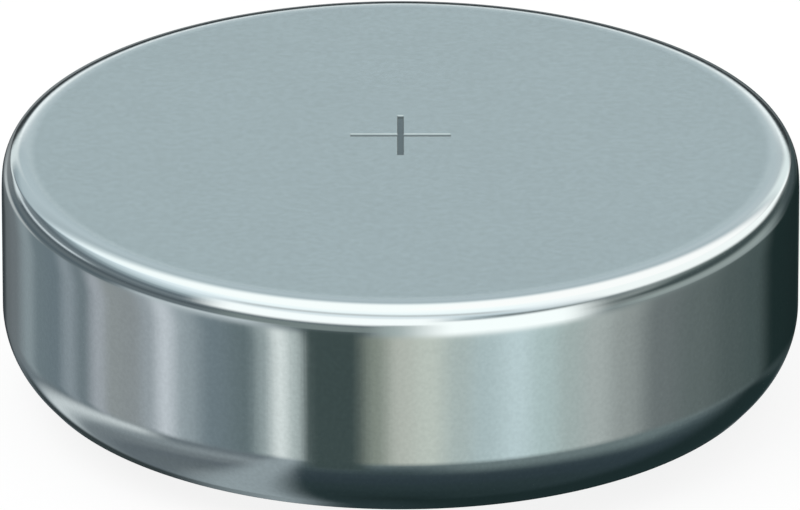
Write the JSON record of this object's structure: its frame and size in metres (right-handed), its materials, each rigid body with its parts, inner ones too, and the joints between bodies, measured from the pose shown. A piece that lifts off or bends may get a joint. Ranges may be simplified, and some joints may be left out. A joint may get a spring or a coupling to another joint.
{
  "type": "silver oxide button cell",
  "caption": "Small round sealed battery that stands on its negative cap: a crimped steel can with a flat positive face on top, over a cap set in a nylon ring.",
  "frame": {"origin": "centre of the negative contact face, which the cell stands on", "axes": "+Z along the cell's axis, from the negative contact to the positive contact; the cell is round, so X and Y are any two directions across it"},
  "size_m": [0.0048, 0.0048, 0.0016],
  "materials": {
    "nickel_plated_steel": "bright nickel plate on drawn steel, polished on the wall and satin on the flat face",
    "clad_steel": "nickel-clad stainless sheet, lightly burnished",
    "nylon": "natural nylon, slightly translucent",
    "silver_oxide": "pressed powder, matt",
    "barrier_film": "cellophane laminate, faintly glossy",
    "fleece": "non-woven fleece, wet",
    "zinc_gel": "zinc powder paste, dull and grainy"
  },
  "bodies": {
    "root": {"can": "nickel_plated_steel", "cap": "clad_steel", "gasket": "nylon", "cathode_pellet": "silver_oxide", "separator": "barrier_film", "absorber": "fleece", "anode_gel": "zinc_gel"}
  },
  "joints": []
}
